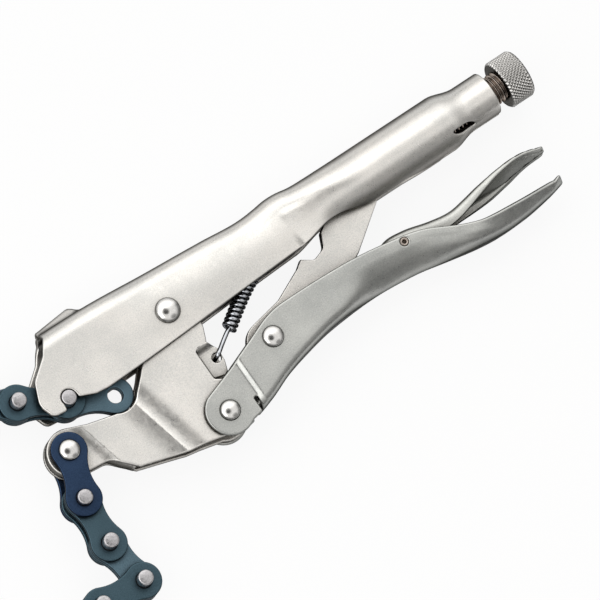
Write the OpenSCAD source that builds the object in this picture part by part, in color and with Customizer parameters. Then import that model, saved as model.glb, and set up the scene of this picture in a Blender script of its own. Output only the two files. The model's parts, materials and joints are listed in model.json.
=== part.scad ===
// Locking chain clamp: a toggle-locking handle pair with a hinged jaw, and a leaf chain that is
// anchored on the jaw and drops over a hook at the nose of the fixed handle.
// Drawn in the tool's own plane: X runs along the handle to the adjusting knob, Y across the
// handles, Z out of the side that faces up when the tool lies flat. The jaw rivet is at x = y = 0.

/* [Fixed handle] */
// Thickness of the handle's sheet steel
sheet = 2; // [1.6:0.1:2.4]
// Half of the channel's outside width
channel_half = 9; // [8.6:0.1:9.6]
// Top edge of the channel at the nose
nose_top = 19; // [18:0.5:21]
// Outside radius of the tube that the channel closes into
tube_r = 10.7; // [10.2:0.1:11.4]
// Height of the tube's axis above the jaw rivet
axis_y = 2.9; // [2:0.1:3.6]
// Where the neck that carries the screw ends
neck_end = 154.5; // [150:0.5:160]
// Outside radius of the neck
neck_r = 8.8; // [8.4:0.1:9.4]
// Radius of the bend between the channel's web and its walls
channel_bend = 4; // [3:0.25:5]
// Lowest edge of the channel's walls near the nose
wall_low = -11.8; // [-12.5:0.1:-11]
// Height of the stiffening crown pressed into the web behind the nose
crown_h = 3.2; // [1.5:0.1:4]

/* [Adjusting screw] */
// Radius of the screw's shank
screw_r = 5.5; // [5:0.1:6]
// Where the screw's inner end stops
screw_tip = 104; // [103.5:0.5:110]
// Length of thread that shows between the neck and the knurled head
thread_shown = 5.5; // [3:0.5:12]
// Length of the knurled head
knob_len = 10; // [8:0.5:14]
// Radius of the knurled head
knob_r = 9.9; // [8.5:0.1:10.4]

/* [Jaw] */
// Thickness of the jaw's walls
jaw_wall = 2.5; // [2:0.1:3]
// Half of the thickness of the jaw's nose, where the chain is anchored
jaw_nose_half = 4.6; // [4.6:0.1:4.8]
// Half of the thickness of the jaw between its two steps
jaw_mid_half = 5.7; // [5.3:0.1:6]
// Radius of the jaw's rounded nose
jaw_nose_r = 9.4; // [8.8:0.1:10]

/* [Lower handle] */
// Thickness of the lower handle's sheet steel
lower_sheet = 1.8; // [1.5:0.1:2]
// Half of the lower handle's outside width
lower_half = 9.8; // [9.6:0.1:10.4]
// Radius of the bend between the lower handle's back and its walls
lower_bend = 4.5; // [3:0.25:5]
// Radius of the rounded ears that hold the jaw
ear_r = 9.6; // [9:0.1:10]

/* [Toggle and release] */
// Thickness of the toggle link
link_t = 4; // [3:0.1:5]
// Thickness of the release lever's sheet steel
lever_sheet = 1.6; // [1.2:0.1:2]
// Radius of the pin that the release lever turns on
lever_pin_r = 1.6; // [1.2:0.1:2]

/* [Rivets] */
// Radius of the jaw rivet and of the two handle rivets
rivet_r = 3.5; // [3:0.1:4]
// Radius of their heads
rivet_head_r = 4.7; // [4.4:0.1:5.4]
// Height of a rivet's head
rivet_head_h = 1.9; // [1.5:0.1:2.4]

/* [Chain] */
// Distance between the chain's pins
pitch = 19.05; // [18:0.05:20]
// Thickness of a chain plate
plate_t = 2; // [1.6:0.1:2.1]
// Radius of a plate's round ends
plate_r = 7.1; // [6.6:0.1:7.4]
// Half of a plate's width at its waist
plate_waist = 5.2; // [4.6:0.1:6]
// Radius of a chain pin
pin_r = 2.95; // [2.6:0.05:3.2]
// How far a pin stands out past the handle's hook
pin_proud = 0.4; // [0.2:0.1:0.8]

/* [Spring] */
// Radius of the spring's wire
wire_r = 0.65; // [0.5:0.05:0.7]
// Radius of the coil, to the middle of the wire
coil_r = 2.5; // [2.2:0.1:2.9]
// Distance from one curl to the next
coil_step = 2; // [1.9:0.05:2.4]
// Number of curls
curls = 16; // [10:1:18]

/* [Clearances] */
// Gap around a pin or rivet in its hole
pin_gap = 0.05; // [0.03:0.01:0.1]
// Gap between two parts that slide side by side
side_gap = 0.2; // [0.1:0.05:0.3]

/* [Hidden] */
$fn = 64;
far = 60;
jaw_rivet = [0, 0];
handle_rivet = [-2.3, -44.3];
link_rivet = [27.7, -30.1];
lever_pivot = [91.3, -27.5];
anchor = [-62, -23.3];
hook_pin = [-50.9, -6.9];
spring_foot = [6.2, -24.4];
spring_head = [58, 0.75];

// Layers of the assembly, measured from the tool's middle plane
jaw_half = channel_half - sheet - side_gap;
ear_inner = jaw_half + side_gap;
inner_plate_in = 0.15;
outer_plate_in = inner_plate_in + plate_t + side_gap;
anchor_plate_in = jaw_nose_half + side_gap;
pin_half = channel_half + pin_proud;
lever_half = lower_half - lower_sheet - 2 * side_gap;

// General helpers
function clamp01(t) = min(1, max(0, t));
function ease(t) = let (c = clamp01(t)) c * c * (3 - 2 * c);
function mix(a, b, t) = a + (b - a) * t;
function unit(v) = v / norm(v);
function turned(v, a) = [v.x * cos(a) - v.y * sin(a), v.x * sin(a) + v.y * cos(a)];
function along(a) = [cos(a), sin(a)];
function arc(c, r, a0, a1, n) = [for (i = [0 : n]) c + r * along(mix(a0, a1, i / n))];

// A corner of an outline, rounded to radius r
function corner(before, at, after, r, n = 6) =
    let (a = unit(before - at), b = unit(after - at), half = acos(max(-1, min(1, a * b))) / 2)
    let (c = at + unit(a + b) * r / sin(half), s = at + a * r / tan(half) - c)
    let (e = at + b * r / tan(half) - c, a0 = atan2(s.y, s.x), d = atan2(e.y, e.x) - a0)
    arc(c, r, a0, a0 + (d > 180 ? d - 360 : d < -180 ? d + 360 : d), n);
function flat(p) = [p.x, p.y];

function last(l) = l[len(l) - 1];

// A run of corners [x, y, radius] between a point before it and a point after it
function run(before, pts, after) =
    let (l = concat([before], pts, [after]))
    [for (i = [1 : len(pts)])
        each l[i][2] > 0 ? corner(flat(l[i - 1]), flat(l[i]), flat(l[i + 1]), l[i][2]) : [flat(l[i])]];

// A closed outline from corners [x, y, radius]
function rounded(pts) = run(last(pts), pts, pts[0]);

// A smooth curve through points [x, y] in order of x
function slope(keys, i) =
    let (a = keys[max(0, i - 1)], b = keys[min(len(keys) - 1, i + 1)]) (b.y - a.y) / (b.x - a.x);
function span(keys, x, i = 0) = i >= len(keys) - 2 || x < keys[i + 1].x ? i : span(keys, x, i + 1);
function curve(keys, x) =
    let (i = span(keys, x), a = keys[i], b = keys[i + 1], w = b.x - a.x, t = clamp01((x - a.x) / w))
    let (t2 = t * t, t3 = t2 * t)
    (2 * t3 - 3 * t2 + 1) * a.y + (t3 - 2 * t2 + t) * w * slope(keys, i)
        + (3 * t2 - 2 * t3) * b.y + (t3 - t2) * w * slope(keys, i + 1);

// A closed skin over rings of points, with flat ends. A ring's second half runs back beside its first.
module skin(rings) {
    n = len(rings[0]);
    m = len(rings);
    sides = [for (i = [0 : m - 2], j = [0 : n - 1])
        let (k = (j + 1) % n)
        each [[i * n + j, i * n + k, (i + 1) * n + j], [(i + 1) * n + j, i * n + k, (i + 1) * n + k]]];
    cap = [for (j = [0 : n / 2 - 2]) each [[j, j + 1, n - 2 - j], [j, n - 2 - j, n - 1 - j]]];
    ends = concat([for (f = cap) [f[2], f[1], f[0]]], [for (f = cap) [for (j = f) (m - 1) * n + j]]);
    polyhedron([for (r = rings) each r], concat(sides, ends), convexity = 8);
}

// A wire that follows a path, with sides of its own
function wire_ring(path, i, r, sides) =
    let (a = path[max(0, i - 1)], b = path[min(len(path) - 1, i + 1)], d = unit(b - a))
    let (u = unit(cross(d, abs(d.z) > 0.9 ? [1, 0, 0] : [0, 0, 1])), v = cross(d, u))
    [for (k = [0 : sides - 1]) path[i] + r * (u * cos(360 * k / sides) + v * sin(360 * k / sides))];

// Half of a folded section in the plane across the handle: web, bend, wall and a lip that curls in
// from curl_from down, over curl_len, through curl_turn degrees
bend_steps = 6;
curl_steps = 6;
function lip(s, turn) = turn < 0.01 ? [0, s] : s / (turn * PI / 180) * [1 - cos(turn), sin(turn)];
function fold_half(half, web, bend, curl_from, curl_len, curl_turn, crown) =
    concat(
        [[0, web + crown], [(half - bend) / 2, web + crown * 0.7]],
        [for (i = [0 : bend_steps])
            let (a = 90 * (1 - i / bend_steps))
            [half - bend + bend * cos(a), web - bend * (1 - sin(a))]],
        [for (i = [0 : curl_steps])
            let (f = i / curl_steps, d = lip(curl_len * f, curl_turn * f))
            [half - d.x, curl_from - d.y]]);
function both_sides(h) =
    concat([for (i = [len(h) - 1 : -1 : 1]) [-h[i].x, h[i].y]], h);
function reversed(l) = [for (i = [len(l) - 1 : -1 : 0]) l[i]];
function fold_ring(x, outer, inner) =
    [for (p = concat(both_sides(outer), reversed(both_sides(inner)))) [x, p.y, p.x]];

// Fixed handle
channel_top = [[-70, nose_top], [-28, nose_top], [30, 15.6], [58, axis_y + tube_r], [96, axis_y + tube_r]];
channel_low = [[-70, wall_low], [-28, wall_low], [36, -8.8], [70, -7.4], [96, -7.4]];
tube_from = 58;
tube_full = 94;
neck_from = 133;
neck_full = 141;
function closing(x) = ease((x - tube_from) / (tube_full - tube_from));
function necking(x) = ease((x - neck_from) / (neck_full - neck_from));
function tube_at(x) = mix(tube_r, neck_r, necking(x));
function wall_at(x) = mix(sheet, neck_r - screw_r - pin_gap + 0.4, necking(x));
function turn_at(x) = closing(x) * mix(70, 84, ease((x - 106) / 14));
lip_len = 14.4;
function crown_at(x) = crown_h * ease((-25 - x) / 5) * (1 - 0.6 * clamp01((-30 - x) / 18));
function handle_ring(x) =
    let (c = closing(x), r = tube_at(x), t = wall_at(x), half = mix(channel_half, r, c))
    let (web = x < 96 ? curve(channel_top, x) : axis_y + r, bend = mix(channel_bend, r - 0.3, c))
    let (curl = mix(curve(channel_low, min(x, 96)) + lip_len, axis_y, c), turn = turn_at(x))
    let (outer_len = mix(lip_len, r * turn * PI / 180, c), inner_len = outer_len - t * turn * PI / 180)
    fold_ring(x,
        fold_half(half, web, bend, curl, outer_len, turn, crown_at(x)),
        fold_half(half - t, web - t, bend - t, curl, inner_len, turn, crown_at(x)));
handle_stations = concat(
    [-64, -46, -38, -31, -29, -27, -25, -10, 10, 30, 46],
    [for (x = [tube_from : 6 : tube_full]) x],
    [104, 120, neck_from],
    [for (x = [neck_from + 2 : 2 : neck_full]) x],
    [148, neck_end]);

// Outline of the walls at the nose: the hook, and the notch that a chain pin drops into
notch_r = pin_r + 0.25;
notch = arc(hook_pin, notch_r, 200, 0, 14);
function nose_outline() = concat(
    run([-20, 0], [
        [-20, 40, 0], [-45, 40, 0], [-45.8, 18, 2], [-50, 11.6, 6], [-58.6, 5, 6],
        [-62.4, -3.6, 6], [-60, -10.2, 3], [-54.2, -10.8, 1]], notch[0]),
    notch,
    run(last(notch), [[-47.4, -8.8, 0.8], [-41, -11.4, 4], [-36, wall_low - 3, 0], [-20, wall_low - 3, 0]],
        [-20, 0]));

module rivet_holes(at, r) {
    for (p = at) translate([p.x, p.y, 0]) cylinder(r = r, h = 2 * far, center = true);
}

module spring_lug(root, tip, width) {
    difference() {
        linear_extrude(2, center = true)
            polygon(rounded([
                [root.x - width, root.y, 0], [tip.x - width, tip.y - width / 2, 2],
                [tip.x + width, tip.y - width / 2, 2], [root.x + width, root.y, 0]]));
        translate([tip.x, tip.y, 0]) cylinder(r = hook_hole_r, h = far, center = true);
    }
}
hook_hole_r = 1.9;

module fixed_handle() color("silver") {
    difference() {
        skin([for (x = handle_stations) reversed(handle_ring(x))]);
        linear_extrude(2 * far, center = true)
            difference() {
                translate([-80, -40]) square([60, 90]);
                polygon(nose_outline());
            }
        rivet_holes([jaw_rivet], rivet_r + pin_gap);
        translate([neck_from - 6, axis_y, 0]) rotate([0, 90, 0])
            cylinder(r = screw_r + pin_gap, h = far);
    }
    spring_lug([spring_head.x, axis_y + tube_r - sheet / 2], spring_head, 4.2);
}

// Adjusting screw
module turned_part(at, profile) {
    translate([at, axis_y, 0]) rotate([0, 90, 0]) rotate_extrude() polygon(profile);
}
knob_start = neck_end + thread_shown;
shank_len = knob_start + knob_len - 3 - screw_tip;
module screw_shank() color("darkgray") {
    turned_part(screw_tip, [[0, 0], [screw_r - 1.5, 0], [screw_r, 1.5],
        [screw_r, shank_len], [0, shank_len]]);
}
module screw_knob() color("silver") {
    difference() {
        turned_part(knob_start, [[0, 0], [knob_r - 0.8, 0], [knob_r, 0.8],
            [knob_r, knob_len - 0.8], [knob_r - 0.8, knob_len], [0, knob_len]]);
        turned_part(knob_start - 1, [[0, 0], [screw_r + pin_gap, 0],
            [screw_r + pin_gap, knob_len - 2 + pin_gap], [0, knob_len - 2 + pin_gap]]);
    }
}

// Jaw: two walls that step in towards a solid nose, and a lug for the spring
step_angle = 14;
step_1 = -29.8;
step_2 = -50.5;
step_run = 5;
jaw_upper = [[8.6, -12, 3], [9.6, 7, 7], [-9.6, 7, 7], [-14, -5, 4], [-22.5, -14.5, 6], [-30, -18.6, 5],
    [-50, -18.4, 5]];
jaw_lower = [[-50.5, -34.4, 5], [-43.4, -42.6, 0.8], [-24, -49.2, 3], [-19, -49.6, 3]];
jaw_back = [[4.6, -33.5, 1.5], [0.4, -31, 1], [0.4, -18.4, 1], [6, -18, 1.5]];
jaw_nose = arc([anchor.x + 1, anchor.y - 0.7], jaw_nose_r, 70, 268, 16);
jaw_heel = arc(handle_rivet, ear_r - 0.8, 235, 350, 10);
function jaw_outline() = concat(
    run(last(jaw_back), jaw_upper, jaw_nose[0]),
    jaw_nose,
    run(last(jaw_nose), jaw_lower, jaw_heel[0]),
    jaw_heel,
    run(last(jaw_heel), jaw_back, jaw_upper[0]));

// Profile of one wall across its two steps, along the direction square to them
function step_line(h) = [
    [20, jaw_half - h], [step_1, jaw_half - h], [step_1 - step_run, jaw_mid_half - h],
    [step_2, jaw_mid_half - h], [step_2 - step_run, jaw_nose_half - h], [-90, jaw_nose_half - h]];
module across_steps(profile) {
    rotate([0, 0, step_angle]) rotate([90, 0, 0])
        linear_extrude(3 * far, center = true) polygon(profile);
}
module jaw_walls() {
    for (side = [0, 1]) mirror([0, 0, side])
        across_steps(concat(step_line(0), reversed(step_line(jaw_wall))));
}
// The web that closes the gap between the walls along the jaw's lower edge, behind the nose
jaw_web = [[-62, -40], [-62, -30.4], [-49.4, -31.6], [-40.8, -41.4], [-43.4, -46]];
module jaw() color("silver") {
    difference() {
        intersection() {
            linear_extrude(2 * far, center = true) polygon(jaw_outline());
            union() {
                jaw_walls();
                across_steps([[step_2 - step_run - 1, -jaw_nose_half], [-90, -jaw_nose_half],
                    [-90, jaw_nose_half], [step_2 - step_run - 1, jaw_nose_half]]);
                linear_extrude(2 * (jaw_mid_half - jaw_wall / 2), center = true) polygon(jaw_web);
            }
        }
        rivet_holes([jaw_rivet, handle_rivet], rivet_r + pin_gap);
        rivet_holes([anchor], pin_r + pin_gap);
    }
    difference() {
        union() {
            linear_extrude(2, center = true)
                polygon(rounded([[-3, -19, 0], [3, -19, 1.5], [spring_foot.x + 3, spring_foot.y + 2, 2],
                    [spring_foot.x + 1.4, spring_foot.y - 4, 2], [2, -32.5, 1], [-3, -31, 0]]));
            translate([-3, -31, -1]) cube([3, 12, jaw_half]);
        }
        translate([spring_foot.x, spring_foot.y, 0]) cylinder(r = hook_hole_r, h = far, center = true);
    }
}

// Rivets: a shank with a flat-topped dome at each end
module rivet(at, r, head_r, grip_half, head_h) {
    translate([at.x, at.y, 0]) {
        cylinder(r = r, h = 2 * grip_half, center = true);
        for (side = [0, 1]) mirror([0, 0, side]) translate([0, 0, grip_half])
            rotate_extrude() polygon(concat([[0, 0]],
                [for (i = [0 : 6]) [head_r * cos(11 * i), head_h * sin(11 * i) / sin(66)]], [[0, head_h]]));
    }
}
module jaw_rivet_part() color("gainsboro")
    rivet(jaw_rivet, rivet_r, rivet_head_r + 0.2, channel_half, rivet_head_h + lower_half - channel_half);
module handle_rivet_part() color("gainsboro")
    rivet(handle_rivet, rivet_r, rivet_head_r, ear_inner + lower_sheet, rivet_head_h);
module link_rivet_part() color("gainsboro")
    rivet(link_rivet, rivet_r, rivet_head_r, lower_half, rivet_head_h);
module chain_anchor_rivet() color("gainsboro")
    rivet(anchor, pin_r, 4.1, anchor_plate_in + plate_t + side_gap, 2);

// Lower handle: a folded channel that opens towards the fixed handle, with two ears on the jaw
lower_back = [[9, -51], [15.8, -49], [25.5, -45.2], [36, -42.4], [52, -39.9], [72, -39.4], [90, -40.4],
    [105, -43], [124.5, -45.2], [139, -44.9], [151, -43.4], [158, -42.6]];
lower_rim = [[9, -30.4], [20.4, -26], [30, -22.4], [38, -21.2], [66, -21.8], [83.4, -23.8], [99, -27],
    [113.6, -34.4], [127, -39.6], [140, -40.8], [151, -40.2], [158, -40.4]];
lower_end = 158;
ear_from = handle_rivet.x - ear_r - 4;
ear_low = -68;
ear_high = -22;
jog_from = 9;
jog_to = 14;
function lower_half_at(x) =
    mix(ear_inner + lower_sheet, lower_half, ease((x - jog_from) / (jog_to - jog_from)))
        - 4 * ease((x - 118) / 36) - 2.2 * clamp01((x - 154) / 4);
function lower_ring(x) =
    let (half = lower_half_at(x), ear = x < jog_from, back = ear ? ear_low : curve(lower_back, x))
    let (rim = ear ? ear_high : curve(lower_rim, x))
    let (t = min(lower_sheet, (rim - back) * 0.7), bend = min(lower_bend, (rim - back) * 0.8))
    fold_ring(x, open_half(half, back, bend, rim),
        open_half(half - t, back + t, max(0.3, bend - t), rim));
function open_half(half, web, bend, rim) =
    concat([[0, web], [(half - bend) / 2, web]],
        [for (i = [0 : bend_steps])
            let (a = 90 * i / bend_steps)
            [half - bend + bend * sin(a), web + bend * (1 - cos(a))]],
        [[half, rim]]);
lower_stations = concat([ear_from + 1, jog_from - 1, jog_from, 10.5, 12, 13, jog_to, 18, 22, 26, 30, 34, 38],
    [for (x = [46 : 8 : 110]) x], [for (x = [114 : 5 : 150]) x], [154, 156, lower_end]);
module lower_handle() color("silver") {
    difference() {
        skin([for (x = lower_stations) lower_ring(x)]);
        linear_extrude(2 * far, center = true)
            difference() {
                translate([ear_from, lower_back[0].y - far]) square([jog_from - ear_from, 2 * far]);
                polygon(concat(arc(handle_rivet, ear_r, 118, 305, 20),
                    [[jog_from + 1, lower_back[0].y], [jog_from + 1, lower_rim[0].y]]));
            }
        rivet_holes([handle_rivet, link_rivet], rivet_r + pin_gap);
        rivet_holes([lever_pivot], lever_pin_r + pin_gap);
    }
}

// Toggle link between the lower handle and the screw's end, with a spacer on each side
link_nose = [97, axis_y];
link_nose_r = 4;
link_root = arc(link_rivet, 8.6, 100, 290, 14);
link_tip = arc(link_nose, link_nose_r, -45, 110, 10);
module toggle_link() color("lightgray") {
    difference() {
        linear_extrude(link_t, center = true)
            polygon(concat(
                link_root,
                run(last(link_root), [[62, -28.5, 4], [75.6, -21, 3], [84, -13.6, 6]], link_tip[0]),
                link_tip,
                run(last(link_tip), [[80, 1, 6], [68.6, -6.4, 1.5], [66, -12, 3], [60.5, -13.8, 2],
                    [56, -10.8, 0.3], [53, -13, 1], [40, -19, 6]], link_root[0])));
        rivet_holes([link_rivet], rivet_r + pin_gap);
    }
}
module link_spacers() color("gray") {
    spacer_in = link_t / 2 + side_gap;
    spacer_out = lower_half - lower_sheet - side_gap;
    for (side = [0, 1]) mirror([0, 0, side])
        translate([link_rivet.x, link_rivet.y, spacer_in])
            difference() {
                cylinder(r = rivet_r + 2, h = spacer_out - spacer_in);
                translate([0, 0, -1]) cylinder(r = rivet_r + pin_gap, h = far);
            }
}

// Release lever: a folded channel inside the lower handle, with a finger blade that sweeps out
lever_top = [[70, -31], [79, -27.5], [86, -22.8], [95, -23], [105, -25], [117, -27], [127, -26.8],
    [138, -24.8], [147, -23.6], [155, -24.2], [159, -25.6]];
lever_depth = [[70, 3], [79, 6], [86, 10], [95, 10.5], [104, 9], [113, 7], [124, 5.6], [140, 4.6],
    [152, 3.6], [159, 2.4]];
lever_end = 159;
function lever_half_at(x) = lever_half - 2 * ease((x - 100) / 30) - 2 * clamp01((x - 155) / 4);
function lever_ring(x) =
    let (half = lever_half_at(x), web = curve(lever_top, x), rim = web - curve(lever_depth, x))
    let (t = min(lever_sheet, (web - rim) * 0.7), bend = min(2.6, (web - rim) * 0.7))
    fold_ring(x, cap_half(half, web, bend, rim), cap_half(half - t, web - t, max(0.3, bend - t), rim));
function cap_half(half, web, bend, rim) =
    [for (p = open_half(half, -web, bend, -rim)) [p.x, -p.y]];
lever_stations = concat([76, 79, 82, 84, 86, 89], [for (x = [93 : 6 : 153]) x], [156, lever_end]);
module release_lever() color("silver") {
    difference() {
        skin([for (x = lever_stations) reversed(lever_ring(x))]);
        rivet_holes([lever_pivot], lever_pin_r + pin_gap);
    }
}
module lever_pin() color("dimgray") {
    translate([lever_pivot.x, lever_pivot.y, 0])
        difference() {
            cylinder(r = lever_pin_r, h = 2 * lower_half, center = true);
            cylinder(r = lever_pin_r * 0.5, h = far, center = true);
        }
}

// Return spring, from the jaw's lug to the lug inside the fixed handle
spring_dir = unit([spring_head.x - spring_foot.x, spring_head.y - spring_foot.y, 0]);
spring_side = cross(spring_dir, [0, 0, 1]);
spring_len = norm(spring_head - spring_foot);
eye_r = 2.4;
coil_len = curls * coil_step;
coil_from = (spring_len - coil_len) / 2;
rings_per_curl = 8;
function on_spring(d, r, a) =
    [spring_foot.x, spring_foot.y, 0] + spring_dir * d + r * (spring_side * sin(a) + [0, 0, 1] * cos(a));
function hook_path() =
    [for (a = [-100 : 30 : 80]) on_spring(eye_r - eye_r * cos(a), 0, 0) + [0, 0, eye_r * sin(a)]];
function spring_path() = concat(
    hook_path(),
    [on_spring(eye_r + 2, eye_r, 0)],
    [for (i = [0 : curls * rings_per_curl])
        on_spring(coil_from + coil_step * i / rings_per_curl, coil_r, 360 * i / rings_per_curl)],
    [on_spring(spring_len - eye_r - 2, eye_r, 0)],
    reversed([for (p = hook_path())
        let (d = (p - [spring_foot.x, spring_foot.y, 0]) * spring_dir)
        on_spring(spring_len - d, p.z, 0)]));
coil_points = spring_path();
self_gap = min([for (i = [0 : len(coil_points) - 1], j = [i + 5 : 1 : len(coil_points) - 1])
    norm(coil_points[i] - coil_points[j])]) - 2 * wire_r;
echo(spring_least_gap = self_gap);
module return_spring() color("dimgray") {
    skin([for (i = [0 : len(coil_points) - 1]) reversed(wire_ring(coil_points, i, wire_r, 6))]);
}

// Chain: the first links hang from the jaw, the last ones lie in the hook, and the loop between
// them is a run of equal turns that closes whatever the pitch is
first_headings = [-108, -94, -82, 178];
last_headings = [-33, -30, -25.8];
links = 25;
open_pin = 13;
function walk(from, headings, i = 0) =
    i >= len(headings) ? [from]
        : concat([from], walk(from + pitch * along(headings[i]), headings, i + 1));
front_pins = walk(anchor, first_headings);
neck_start = hook_pin - pitch * (along(last_headings[0]) + along(last_headings[1]));
back_pins = walk(neck_start, last_headings);
loop_links = links - len(first_headings) - len(last_headings);
loop_chord = back_pins[0] - front_pins[len(front_pins) - 1];
function chord_of(turn) = pitch * sin(loop_links * turn / 2) / sin(turn / 2);
function solve_turn(low, high, n) =
    let (m = (low + high) / 2)
    n == 0 ? m : chord_of(m) > norm(loop_chord) ? solve_turn(m, high, n - 1) : solve_turn(low, m, n - 1);
loop_turn = solve_turn(180 / loop_links, 360 / loop_links, 50);
loop_start = atan2(loop_chord.y, loop_chord.x) + (loop_links - 1) / 2 * loop_turn;
loop_pins = walk(front_pins[len(front_pins) - 1], [for (i = [0 : loop_links - 2]) loop_start - i * loop_turn]);
pins = concat(front_pins, [for (i = [1 : loop_links - 1]) loop_pins[i]], back_pins);
echo(pins = pins);

// A plate's waist is an arc that runs smoothly into both round ends
waist_r = (pow(pitch / 2, 2) + pow(plate_waist, 2) - pow(plate_r, 2)) / (2 * (plate_r - plate_waist));
waist_y = waist_r + plate_waist;
blend_angle = atan2(waist_y, pitch / 2);
function plate_outline() = concat(
    arc([0, 0], plate_r, blend_angle, 360 - blend_angle, 18),
    arc([pitch / 2, -waist_y], waist_r, 180 - blend_angle, blend_angle, 6),
    arc([pitch, 0], plate_r, blend_angle - 180, 180 - blend_angle, 18),
    arc([pitch / 2, waist_y], waist_r, -blend_angle, blend_angle - 180, 6));
module plate_pair(k, inside) {
    d = pins[k] - pins[k - 1];
    translate([pins[k - 1].x, pins[k - 1].y, 0]) rotate(atan2(d.y, d.x))
        for (side = [0, 1]) mirror([0, 0, side]) translate([0, 0, inside])
            difference() {
                linear_extrude(plate_t) polygon(plate_outline());
                for (x = [0, pitch]) translate([x, 0, -1]) cylinder(r = pin_r + pin_gap, h = plate_t + 2);
            }
}
function link_layer(k) =
    k == 1 ? anchor_plate_in : k % 2 == 0 ? outer_plate_in : inner_plate_in;
module chain_link(k) color("darkslategray") plate_pair(k, link_layer(k));

// A pin with chamfered ends, from z = low to the end that stands out
pin_chamfer = 0.4;
module pin_half_part(at, low) {
    translate([at.x, at.y, 0]) rotate_extrude()
        polygon([[0, low], [pin_r, low], [pin_r, pin_half - pin_chamfer], [pin_r - pin_chamfer, pin_half],
            [0, pin_half]]);
}
module chain_pin(i) {
    if (i == open_pin)
        for (side = [0, 1]) mirror([0, 0, side]) pin_half_part(pins[i], outer_plate_in);
    else
        pin_half_part(pins[i], -pin_half);
}
module link_pins(k) color("gray") {
    for (i = k == 1 ? [1] : k == 2 ? [2] : [k - 1, k]) chain_pin(i);
}

// Where the tool stands: the middle of its footprint, on the surface that its rivet heads rest on
foot_x = (min([for (p = pins) p.x]) - plate_r + knob_start + knob_len) / 2;
foot_y = (min([for (p = pins) p.y]) + max([for (p = pins) p.y])) / 2;
rest_z = lower_half + rivet_head_h;
module placed() translate([-foot_x, -foot_y, rest_z]) children();
echo(foot = [foot_x, foot_y, rest_z]);

function numbered(word, k) = str(word, k < 10 ? "0" : "", k);
LINK_NODES = [for (k = [1 : links]) numbered("chain_link_", k)];
PIN_NODES = [for (k = concat([1], [for (i = [2 : 2 : links]) i])) numbered("link_pins_", k)];

placed() fixed_handle();
placed() screw_shank();
placed() screw_knob();
placed() jaw();
placed() jaw_rivet_part();  // jaw_rivet
placed() lower_handle();
placed() handle_rivet_part();  // handle_rivet
placed() toggle_link();
placed() link_rivet_part();  // link_rivet
placed() link_spacers();
placed() release_lever();
placed() lever_pin();
placed() return_spring();
placed() chain_anchor_rivet();
for (k = [1 : links]) placed() chain_link(k);
for (k = concat([1], [for (i = [2 : 2 : links]) i]))
    placed() link_pins(k);
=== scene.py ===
"""Locking chain clamp: the fine shape and finish of every piece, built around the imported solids."""
import json
import math

import bmesh
import bpy
import numpy as np
from mathutils import Matrix, Vector, geometry


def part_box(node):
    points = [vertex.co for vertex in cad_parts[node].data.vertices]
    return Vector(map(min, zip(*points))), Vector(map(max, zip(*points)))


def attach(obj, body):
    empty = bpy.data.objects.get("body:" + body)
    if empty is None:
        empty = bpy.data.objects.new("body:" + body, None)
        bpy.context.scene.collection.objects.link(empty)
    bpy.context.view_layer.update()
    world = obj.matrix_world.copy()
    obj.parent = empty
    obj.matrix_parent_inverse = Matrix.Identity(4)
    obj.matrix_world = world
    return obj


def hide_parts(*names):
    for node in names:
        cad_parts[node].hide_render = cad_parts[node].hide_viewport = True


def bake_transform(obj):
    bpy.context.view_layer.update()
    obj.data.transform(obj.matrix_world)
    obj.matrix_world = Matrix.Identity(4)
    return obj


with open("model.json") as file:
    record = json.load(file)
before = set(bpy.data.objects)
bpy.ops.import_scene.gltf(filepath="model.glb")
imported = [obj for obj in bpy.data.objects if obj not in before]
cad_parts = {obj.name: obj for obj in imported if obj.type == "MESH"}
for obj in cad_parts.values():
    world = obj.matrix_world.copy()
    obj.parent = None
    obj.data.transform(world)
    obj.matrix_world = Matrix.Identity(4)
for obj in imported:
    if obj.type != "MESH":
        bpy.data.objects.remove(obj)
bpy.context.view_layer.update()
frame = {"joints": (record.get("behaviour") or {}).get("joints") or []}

# Shapes are drawn in millimetres in the tool's own plane, with the jaw rivet at x = y = 0
MM = 0.001
JOINT_AT = {j["name"]: Vector(j["pos_m"]) for j in frame["joints"] if j["type"] == "hinge"}
ORIGIN = JOINT_AT["jaw_pivot"]


def tool_xy(place):
    p = (place - ORIGIN) / MM
    return np.array([p.x, p.y])


def middle(node):
    low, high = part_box(node)
    return tool_xy((low + high) / 2)


JAW_RIVET = np.zeros(2)
HANDLE_RIVET = tool_xy(JOINT_AT["handle_pivot"])
LINK_RIVET = tool_xy(JOINT_AT["link_pivot"])
LEVER_PIN = tool_xy(JOINT_AT["lever_pivot"])
ANCHOR = tool_xy(JOINT_AT["chain_01"])
HOOK_PIN = tool_xy(JOINT_AT["chain_24"])
RIVET_HOLE = 3.55
PIN_R = 2.95
PIN_HOLE = PIN_R + 0.05
LEVER_HOLE = 1.65
QUARTER = math.pi / 2
# Edges shorter than this are dropped from an outline
SHORTEST = 0.01


# Plain curves and outlines

def ease(t):
    t = np.clip(t, 0, 1)
    return t * t * (3 - 2 * t)


def ramp(x, start, length):
    """Eased from 0 at start to 1 a length further on, or further back if the length is negative."""
    return ease((x - start) / length)


def stretch(x, start, run_in, stop, run_out):
    """Eased from 0 at start up to 1, and down to 0 again at stop."""
    return ramp(x, start, run_in) * ramp(x, stop, -run_out)


def mix(a, b, t):
    return a + (b - a) * t


def unit(v):
    return v / np.linalg.norm(v)


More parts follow.
